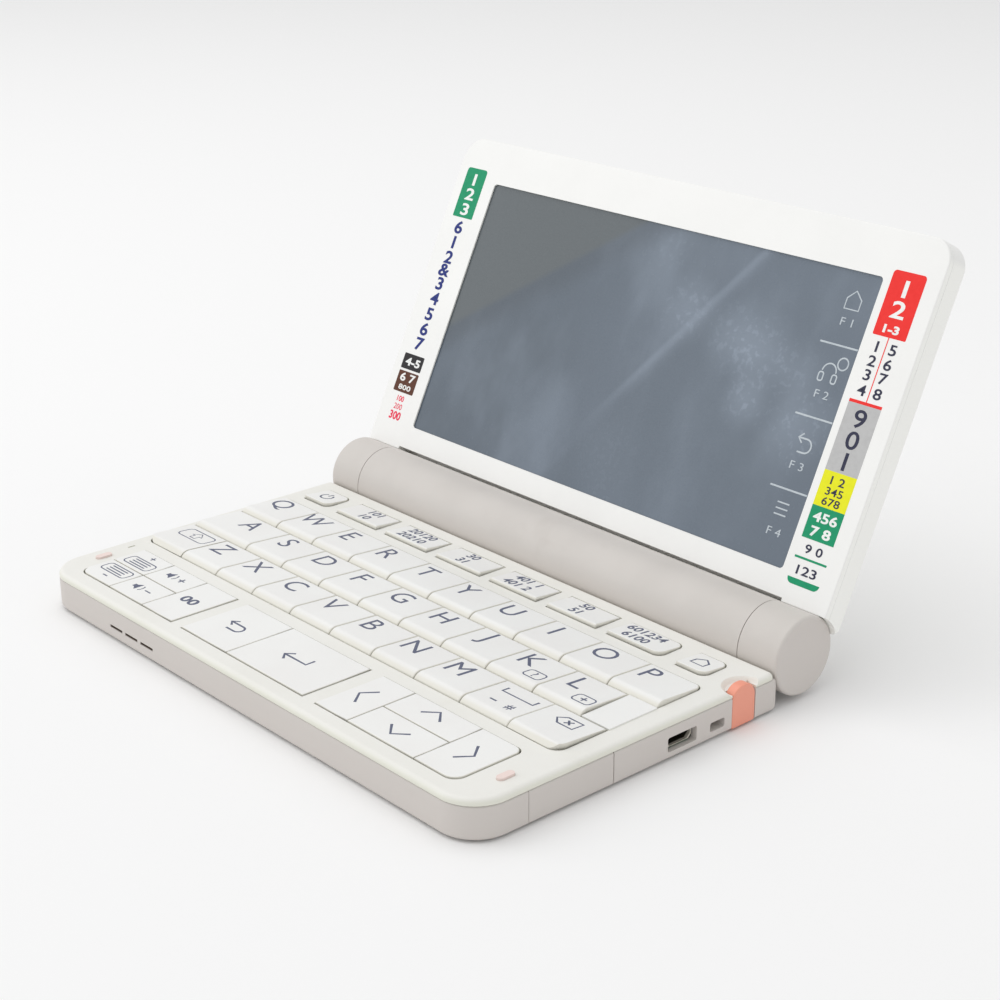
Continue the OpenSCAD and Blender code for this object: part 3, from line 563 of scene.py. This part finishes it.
letterLook = {"height": 5.85, "weight": -0.02, "wide": 1.04}
letterPlaces = {
    "q": (-70.7, 64.3), "w": (-56.0, 64.2), "e": (-41.8, 64.4), "r": (-26.7, 64.4), "t": (-11.8, 64.2),
    "y": (2.5, 64.2), "u": (18.0, 64.2), "i": (32.6, 64.4), "o": (48.2, 64.4), "p": (61.8, 64.6),
    "a": (-63.8, 50.4), "s": (-48.6, 50.4), "d": (-33.3, 50.4), "f": (-19.3, 50.4), "g": (-4.3, 50.4),
    "h": (10.6, 50.4), "j": (24.8, 50.4), "k": (40.1, 50.4), "l": (54.9, 50.4),
    "z": (-55.8, 36.2), "x": (-41.2, 36.2), "c": (-26.2, 36.2), "v": (-11.8, 36.2), "b": (3.0, 36.2),
    "n": (18.1, 36.2), "m": (32.8, 36.2),
}
boxedSigns = {  # second sign in a small box: text, height, weight, x and place from the front
    "k": ("?", 2.3, 0.03, 46.0, 45.6),
    "l": ("+", 2.6, 0.05, 61.2, 45.3),
}
pens = {"icon": 0.5, "box": 0.36, "arrow": 0.62, "space": 0.58, "tag": 0.52, "turn": 0.56, "thin": 0.4,
        "sign": 0.42}
smallBox = roundedOutline(-2.5, 2.5, -1.65, 1.65, [1.0] * 4)
wideBox = roundedOutline(-5.3, 5.3, -2.4, 2.4, [1.3] * 4)
flatBox = roundedOutline(-5, 5, -1.8, 1.8, [1.1] * 4)
for letter, (x, y) in letterPlaces.items():
    marks = [(words(letter.upper(), letterLook["height"], letterLook["weight"], letterLook["wide"]), x, y)]
    if letter in boxedSigns:
        text, height, weight, x, y = boxedSigns[letter]
        marks += [(ring(smallBox, pens["box"]), x, y), (words(text, height, weight), x, y)]
    addLegend("key_" + letter, marks)

shiftArrow = [(-1.9, 0.1), (0, 1.7), (1.9, 0.1), (0.9, 0.1), (0.9, -1.5), (-0.9, -1.5), (-0.9, 0.1)]
addLegend("shift_key", [(ring(wideBox, pens["box"]), -67.3, 36.2),
                        (ring(shiftArrow, pens["sign"]), -67.3, 36.2)])
spaceMark = [([(-4.6, 1.1), (-4.6, -0.9), (4.6, -0.9), (4.6, 1.1)], False)]
addLegend("space_key", [(strokes(spaceMark, pens["space"]), 51.0, 37.0),
                        (bars(2.0, 1, 1, pens["icon"]), 48.6, 31.6), (words("#", 2.4, 0.03), 53.6, 31.6)])
eraseMark = [([(-3.0, 0), (-1.3, 1.7), (3.0, 1.7), (3.0, -1.7), (-1.3, -1.7)], True),
             ([(-0.3, -0.8), (1.3, 0.8)], False), ([(-0.3, 0.8), (1.3, -0.8)], False)]
addLegend("delete_key", [(strokes(eraseMark, pens["tag"]), 65.7, 36.4)])
addLegend("size_keys", [(ring(flatBox, pens["box"]), -62.8, 17.0),
                        (bars(6.4, 0.95, 3, pens["thin"]), -62.8, 17.0), (words("+", 2.2, 0.06), -62.8, 20.7),
                        (ring(flatBox, pens["box"]), -62.8, 10.7),
                        (bars(6.4, 0.95, 3, pens["thin"]), -62.8, 10.7),
                        (bars(1.8, 1, 1, pens["sign"]), -62.5, 7.2)])
speaker = [(-1.2, -0.6), (-0.4, -0.6), (0.8, -1.5), (0.8, 1.5), (-0.4, 0.6), (-1.2, 0.6)]
soundWave = [(arc(0, 0, 1.7, -42, 42, 6), False)]
addLegend("volume_keys", [(filled(speaker), -51.8, 18.6), (strokes(soundWave, pens["box"]), -51.3, 18.6),
                          (words("+", 2.9, 0.05), -47.2, 18.6),
                          (filled(speaker), -51.8, 9.3), (strokes(soundWave, pens["box"]), -51.3, 9.3),
                          (bars(2.2, 1, 1, pens["sign"]), -47.2, 9.3)])
addLegend("history_key", [(words("00", 2.9, 0.12, 1.35), -36.5, 13.8)])
returnMark = [([(-1.4, 2.0), (-3.0, 0.8), (-1.4, -0.4)], False),
              ([(-3.0, 0.8), (1.6, 0.8)] + arc(1.6, -0.6, 1.4, 90, -90, 10) + [(-1.2, -2.0)], False)]
addLegend("back_key", [(strokes(returnMark, pens["turn"]), -17.7, 13.8)])
enterMark = [([(-2.0, 1.4), (-3.8, -0.3), (-2.0, -2.0)], False),
             ([(-3.8, -0.3), (3.8, -0.3), (3.8, 2.2)], False)]
addLegend("enter_key", [(strokes(enterMark, pens["arrow"]), 4.7, 13.8)])
arrows = {  # the arrow's corner points, and where it stands
    "left_key": ([(1.3, 3.3), (-1.3, 0), (1.3, -3.3)], 28.0, 13.9),
    "up_key": ([(-3.0, -1.4), (0, 1.4), (3.0, -1.4)], 44.8, 19.3),
    "down_key": ([(-3.0, 1.4), (0, -1.4), (3.0, 1.4)], 45.0, 8.8),
    "right_key": ([(-1.3, 3.3), (1.3, 0), (-1.3, -3.3)], 62.0, 13.7),
}
for node, (points, x, y) in arrows.items():
    addLegend(node, [(strokes([(points, False)], pens["arrow"]), x, y)])
powerMark = [(arc(0, 0, 1.7, 125, 415, 20), False), ([(0, 0.4), (0, 2.2)], False)]
addLegend("power_key", [(strokes(powerMark, pens["icon"]), -67.8, 76.7)])
homeMark = [(-1.8, -1.7), (1.8, -1.7), (1.8, 0.35), (0, 1.8), (-1.8, 0.35)]
addLegend("home_key", [(ring(homeMark, pens["icon"]), 64.8, 76.9)])
numberLook = {"height": 2.7, "weight": 0.08, "upper": 78.8, "lower": 75.05,
              "places": {-49.6: ("101", "10"), -31.0: ("20120", "20210"), -11.8: ("30", "31"),
                         7.8: ("401 1", "401 2"), 27.6: ("50", "51"), 46.8: ("601234", "6100")}}
marks = []
for x, lines in numberLook["places"].items():
    for text, place in zip(lines, ("upper", "lower")):
        marks.append((words(text, numberLook["height"], numberLook["weight"]), x, numberLook[place]))
addLegend("dictionary_keys", marks)
print("stage: legends")


# Lid: touch glass and printed labels, placed by x and the distance t from the hinge's axis
lidLook = {
    "angle": 115.9,
    "axisY": 42.95,
    "axisZ": 10.3,
    "face": 0.85,  # inner face, from the hinge axis
    "halfWidth": 79.3,
    "sideBezel": 15.1,
    "windowStart": 15.8,
    "windowEnd": 83.45,
    "glassBorder": 1.8,  # under the frame, round the window
    "glassTop": -0.5,  # from the inner face
    "glassDepth": 1.45,
}
lidOpen = (Matrix.Translation((0, lidLook["axisY"], lidLook["axisZ"]))
           @ Matrix.Rotation(math.radians(-lidLook["angle"]), 4, "X"))
# Drawing plane of the lid's inner face: x to the right, y away from the hinge, z out of the face
lidFace = lidOpen @ Matrix(((1, 0, 0, 0), (0, -1, 0, 0), (0, 0, -1, lidLook["face"]), (0, 0, 0, 1)))

screenLook = {  # tones of the unlit screen, with painted reflections of the room, painted light and painted shade
    "near": "#5a646e",
    "far": "#636d79",
    # light: colour of the painted reflections and painted light
    "light": "#a3afbf",
    # below and shade: painted shade, as a band under the shade's edge and the shaded region past it
    "below": "#4f565d",
    "shade": "#63696c",
    "wispShare": 0.2,
    "rightShare": 0.15,
    "creaseShare": 0.2,
    "nearShare": 0.25,
    "belowShare": 0.4,
    "shadeShare": 0.9,
    "crease": (-6.1, 32.7, 1.4),  # a point of the diagonal, as x and t, and its slope
    "shadeEdge": (-62, 44.9, 0.7),
    # painted glints: x, t, radius and share
    "glints": [(1, 79, 12, 0.2), (13, 65.5, 11, 0.45), (30, 62, 12, 0.45), (39, 60, 12, 0.5),
               (49, 58, 9, 0.3), (38.5, 49, 9, 0.5), (55, 47, 13, 0.45), (2, 28, 15, 0.12), (8, 15, 14, 0.1)],
}


def pastDiagonal(x, t, diagonal):
    x0, t0, slope = diagonal
    return t - t0 - (x - x0) * slope


def screenGlass():
    # Touch glass over a dark display: bluish grey, hazy, with painted reflections of the room, painted light
    # and painted shade, and fine specks
    look = screenLook
    material, shader, place = startFinish("screenGlass")
    x, y, z = axes(place)
    tilt = math.radians(180 - lidLook["angle"])
    x = x / mm
    t = (y / mm - lidLook["axisY"]) * math.cos(tilt) + (z / mm - lidLook["axisZ"]) * math.sin(tilt)
    haze = place.noise(16, 3, 0.45)
    smudgeReflections = place.node("ShaderNodeMapping", values={"Vector": place, "Scale": (1, 1, 0.4)}).noise(46, 4, 0.55)
    dabs = place.noise(640, 2, 0.5).smooth(0.48, 0.7)
    tone = haze.smooth(0.3, 0.72).mix(look["near"], look["far"])
    # lighter streaks: smudges on the glass, and painted reflection of the room
    tone = (smudgeReflections.smooth(0.42, 0.75) * look["wispShare"]).mix(tone, look["light"])
    # painted light: the glass grows lighter towards the right
    tone = (x.smooth(-60, 50) * look["rightShare"]).mix(tone, look["light"])
    # painted reflection of a fold in the room: a thin light line, darker on its side nearer the hinge
    pastReflectedFold = pastDiagonal(x, t, look["crease"])
    line = pastReflectedFold.smooth(-4, -0.5) * (1 - pastReflectedFold.smooth(-0.3, 2.2)) * t.smooth(28, 52)
    tone = (line * look["creaseShare"]).mix(tone, look["light"])
    tone = ((1 - pastReflectedFold.smooth(-7, -3)) * look["nearShare"]).mix(tone, look["near"])
    # painted reflections: soft light spots where the room shows in the glass
    for x0, t0, radius, share in look["glints"]:
        reach = ((x - x0) * (x - x0) + (t - t0) * (t - t0)).root()
        paintedGlint = (1 - reach.smooth(0, radius)) * share * (0.55 + dabs * 0.45)
        tone = paintedGlint.mix(tone, look["light"])
    # painted shade: a dark region past a diagonal, with a darker band just before its edge
    edge = pastDiagonal(x, t, look["shadeEdge"])
    tone = (edge.smooth(-10, -1) * look["belowShare"]).mix(tone, look["below"])
    tone = (edge.smooth(-0.8, 2.2) * look["shadeShare"]).mix(tone, look["shade"])
    place.plug(shader, {"Base Color": tone, "Roughness": 0.18 + haze * 0.12 + dabs * 0.04,
                        "IOR": 1.5, "Specular IOR Level": 0.22})
    return material


border = lidLook["glassBorder"]
glassHalf = lidLook["halfWidth"] - lidLook["sideBezel"] + border
glass = bmesh.new()
plate(glass, roundedOutline(-glassHalf, glassHalf, lidLook["windowStart"] - border,
                            lidLook["windowEnd"] + border, [1.0] * 4),
      lidLook["glassTop"] - lidLook["glassDepth"], lidLook["glassTop"])
glass.transform(lidFace)
glassPiece = addPiece("touchGlass", glass, screenGlass(), "lid")
evenNormals(glassPiece)
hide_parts("touch_panel")


def lidInk(name, colour, marks):
    # marks: (mesh, x, t, height above the inner face)
    bm = bmesh.new()
    for mesh, x, t, height in marks:
        addMesh(bm, mesh, lidFace @ Matrix.Translation((x, t, height)))
    addPiece(name, bm, inkFinish[colour], "lid", smooth=False)


# fields: x from and to, t from and to, corner radii
# lines: text, height, weight, width, x and t; columns have a t for each character
# height, where it is given: the writing's own height above the inner face
labels = {
    "labelLeftGreen": {"ink": "green", "fields": [(-76, -68.3, 72.7, 86.3, (0.3, 0.3, 0.9, 0.9))]},
    "labelLeftBlack": {"ink": "black", "fields": [(-76.2, -68.2, 29.8, 34.0, (0.3,) * 4)]},
    "labelLeftBrown": {"ink": "brown", "fields": [(-76.2, -68.2, 23.5, 29.2, (0.3,) * 4)]},
    "labelLeftNavy": {"ink": "navy", "columns": [
        ("612&34567", 3.4, 0.12, 1.35, -72.1, (70.0, 65.8, 61.6, 58.0, 54.2, 50.0, 45.6, 41.4, 37.2))]},
    "labelLeftPink": {"ink": "pink", "height": 0, "lines": [
        ("100", 1.5, 0.05, 1, -72.2, 21.8), ("200", 1.6, 0.02, 1, -72.2, 19.6),
        ("300", 2.2, 0.1, 1, -72.2, 17.1)]},
    "labelLeftWhite": {"ink": "white", "columns": [
        ("123", 3.2, 0.1, 1.6, -72.1, (83.2, 79.2, 75.0))], "lines": [
        ("4-5", 2.1, 0.1, 1.5, -72.1, 31.9), ("6 7", 2.2, 0.08, 1.5, -72.1, 27.6),
        ("800", 1.4, 0.04, 1.7, -72.1, 24.9)]},
    "labelRightRed": {"ink": "red", "fields": [
        (66.2, 75.1, 70.9, 85.7, (0.3, 0.3, 0.9, 0.9)), (66.2, 75.1, 55.4, 56.1), (70.6, 70.85, 56.1, 70.9)]},
    "labelRightGrey": {"ink": "grey", "fields": [(66.2, 75.1, 39.7, 55.4)]},
    "labelRightYellow": {"ink": "yellow", "fields": [(66.2, 75.1, 31.6, 39.7)]},
    "labelRightGreen": {"ink": "green", "fields": [
        (66.2, 75.1, 24.1, 31.6), (66.2, 75.1, 19.4, 19.9), (66.2, 75.1, 13.6, 15.0, (1.4, 1.4, 0, 0))]},
    "labelRightWhite": {"ink": "white", "columns": [("12", 3.9, 0.1, 1.5, 70.7, (81.9, 77.2))], "lines": [
        ("1-3", 1.8, 0.1, 1.5, 70.6, 72.7), ("456", 2.2, 0.08, 1.45, 70.7, 29.3),
        ("7 8", 2.2, 0.1, 1.45, 70.7, 26.0)]},
    "labelRightDark": {"ink": "dark", "columns": [
        ("1234", 2.5, 0.05, 1.35, 68.5, (68.4, 65.1, 61.9, 58.4)),
        ("5678", 2.5, 0.05, 1.35, 72.8, (68.4, 65.1, 61.9, 58.4)),
        ("901", 4.2, 0.06, 1.3, 70.6, (52.2, 47.3, 42.4))], "lines": [
        ("1 2", 1.9, 0.04, 1.35, 70.6, 37.8), ("345", 1.8, 0.03, 1.35, 70.6, 35.3),
        ("678", 1.8, 0.03, 1.35, 70.6, 33.0), ("9 0", 2.0, 0.04, 1.4, 70.6, 21.9),
        ("123", 2.1, 0.04, 1.5, 70.6, 17.0)]},
}
for name, label in labels.items():
    lift = label.get("height", printLook["over"])
    marks = [(filled(roundedOutline(*field)), 0, 0, 0) for field in label.get("fields", [])]
    for text, height, weight, wide, x, places in label.get("columns", []):
        marks += [(words(c, height, weight, wide), x, t, lift) for c, t in zip(text, places)]
    for text, height, weight, wide, x, t in label.get("lines", []):
        marks.append((words(text, height, weight, wide), x, t, lift))
    lidInk(name, label["ink"], marks)

# Soft keys printed on the glass
softLook = {"x": 58.3, "pen": 0.36, "rules": (66.5, 49.6, 32.7),
            "names": {"F 1": 71.9, "F 2": 55.0, "F 3": 38.3, "F 4": 22.9}}
houseMark = [(-2.0, -2.1), (2.0, -2.1), (2.0, 0.3), (0, 2.2), (-2.0, 0.3)]
earphones = [(arc(0, 0, 1.9, 0, 180, 14), False), (roundedOutline(-2.5, -1.2, -2.4, -0.4, [0.5] * 4), True),
             (roundedOutline(1.2, 2.5, -2.4, -0.4, [0.5] * 4), True), (arc(3.0, 2.4, 1.4, 0, 360, 18), False)]
softReturn = [([(-0.8, 2.3), (-2.0, 1.2), (-0.8, 0.1)], False),
              ([(-2.0, 1.2), (0.5, 1.2)] + arc(0.5, -0.4, 1.6, 90, -90, 10) + [(-1.3, -2.0)], False)]
softMarks = [(ring(houseMark, softLook["pen"]), softLook["x"], 76.9),
             (strokes(earphones, softLook["pen"]), 58.2, 60.3),
             (strokes(softReturn, 0.4), softLook["x"], 43.4), (bars(3.4, 1.35, 3, 0.34), softLook["x"], 28.2)]
softMarks += [(bars(10.6, 1, 1, 0.42), 58.4, t) for t in softLook["rules"]]
softMarks += [(words(text, 1.9, 0.0, 1.3), softLook["x"], t) for text, t in softLook["names"].items()]
glassTop = lidLook["glassTop"] + printLook["depth"] / 2
lidInk("softKeyMarks", "screen", [(mesh, x, t, glassTop) for mesh, x, t in softMarks])
print("stage: lid")


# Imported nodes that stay, with their finish and softened edges
dressing = {
    "casePlastic": ["bottom_case", "barrel", "battery_cover", "card_cover", "hinge_drums"],
    "deckPlastic": ["top_deck"],
    "lidPlastic": ["lid_frame", "lid_back"],
    "penPlastic": ["stylus"],
    "footRubber": ["rubber_pads"],
    "darkInside": ["display_module", "speaker"],
}
edgeLook = {
    "weld": 0.002,
    "flat": 0.4,  # faces that turn less than this become one
    "round": 35,  # edges that turn more than this are rounded
    "sharp": 30,  # or kept sharp, on thin ribs that a rounding would swallow
    "widths": {"top_deck": 0.14, "barrel": 0.15, "card_cover": 0.12, "hinge_drums": 0.2, "lid_frame": 0.12,
               "lid_back": 0.12, "stylus": 0.6, "battery_cover": 0.12},
}


def dress(name, finish):
    nodes[name].data.materials.clear()
    nodes[name].data.materials.append(finish)


def joined(name):
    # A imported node's loose triangles, joined
    weld = nodes[name].modifiers.new("weld", "WELD")
    weld.merge_threshold = edgeLook["weld"] * mm
    return nodes[name]


def crisp(name):
    piece = joined(name)
    split = piece.modifiers.new("sharpEdges", "EDGE_SPLIT")
    split.split_angle = math.radians(edgeLook["sharp"])
    evenNormals(piece)


def soften(name, width):
    piece = joined(name)
    flat = piece.modifiers.new("flatFaces", "DECIMATE")
    flat.decimate_type = "DISSOLVE"
    flat.angle_limit = math.radians(edgeLook["flat"])
    bevel = piece.modifiers.new("softEdges", "BEVEL")
    bevel.width = width * mm
    bevel.segments = 2
    bevel.limit_method = "ANGLE"
    bevel.angle_limit = math.radians(edgeLook["round"])
    bevel.miter_outer = "MITER_ARC"
    evenNormals(piece)


for finish, names in dressing.items():
    for name in names:
        dress(name, plastics[finish])
dress("main_board", boardFinish())
crisp("bottom_case")
for name, width in edgeLook["widths"].items():
    soften(name, width)
print("stage: packed nodes dressed")


# Camera, floor and light
cameraLook = {
    "place": (0.32428, -0.26271, 0.19721),
    "heading": 47.83,
    "pitch": -20.76,
    "lens": 71.70,
    "shift": (-0.0203, -0.0171),
}
lens = bpy.data.cameras.new("camera")
lens.sensor_width = 36
lens.lens = cameraLook["lens"]
lens.shift_x, lens.shift_y = cameraLook["shift"]
lens.clip_start = 0.01
camera = bpy.data.objects.new("camera", lens)
camera.location = cameraLook["place"]
camera.rotation_euler = (math.radians(90 + cameraLook["pitch"]), 0, math.radians(cameraLook["heading"]))
scene.collection.objects.link(camera)
scene.camera = camera

floorLook = {"size": 6, "colour": "#f5f5f5", "rough": 0.9, "specular": 0.1}
floorForm = bmesh.new()
bmesh.ops.create_grid(floorForm, x_segments=1, y_segments=1, size=floorLook["size"])
floor = bpy.data.objects.new("floor", meshOf(floorForm, "floor"))
scene.collection.objects.link(floor)
floorMaterial, floorShader, floorPlace = startFinish("floorPaper")
floorPlace.plug(floorShader, {"Base Color": floorLook["colour"], "Roughness": floorLook["rough"],
                              "Specular IOR Level": floorLook["specular"]})
floor.data.materials.append(floorMaterial)

airLook = {"strength": 0.73, "seen": 0.25}  # light on the object, and what the camera sees on top of it
world = bpy.data.worlds.new("studio")
scene.world = world
world.use_nodes = True
air = Wire(world.node_tree)
rays = air.node("ShaderNodeLightPath", out="Is Camera Ray")
air.plug(world.node_tree.nodes["Background"],
         {"Color": (1, 1, 1, 1), "Strength": rays * airLook["seen"] + airLook["strength"]})

lamps = {
    "overhead": {"place": (-0.3, -0.1, 1.3), "aim": (0, 0, 0), "size": 1.4, "watts": 5.9},
    "left": {"place": (-1.1, -0.9, 0.7), "aim": (0, 0, 0.03), "size": 0.9, "watts": 3.7},
}
for name, lamp in lamps.items():
    light = bpy.data.lights.new(name, "AREA")
    light.energy = lamp["watts"]
    light.size = lamp["size"]
    holder = bpy.data.objects.new(name, light)
    holder.location = lamp["place"]
    holder.rotation_euler = (Vector(lamp["aim"]) - Vector(lamp["place"])).to_track_quat("-Z", "Y").to_euler()
    scene.collection.objects.link(holder)
scene.view_settings.view_transform = "Standard"
print("stage: camera and light")
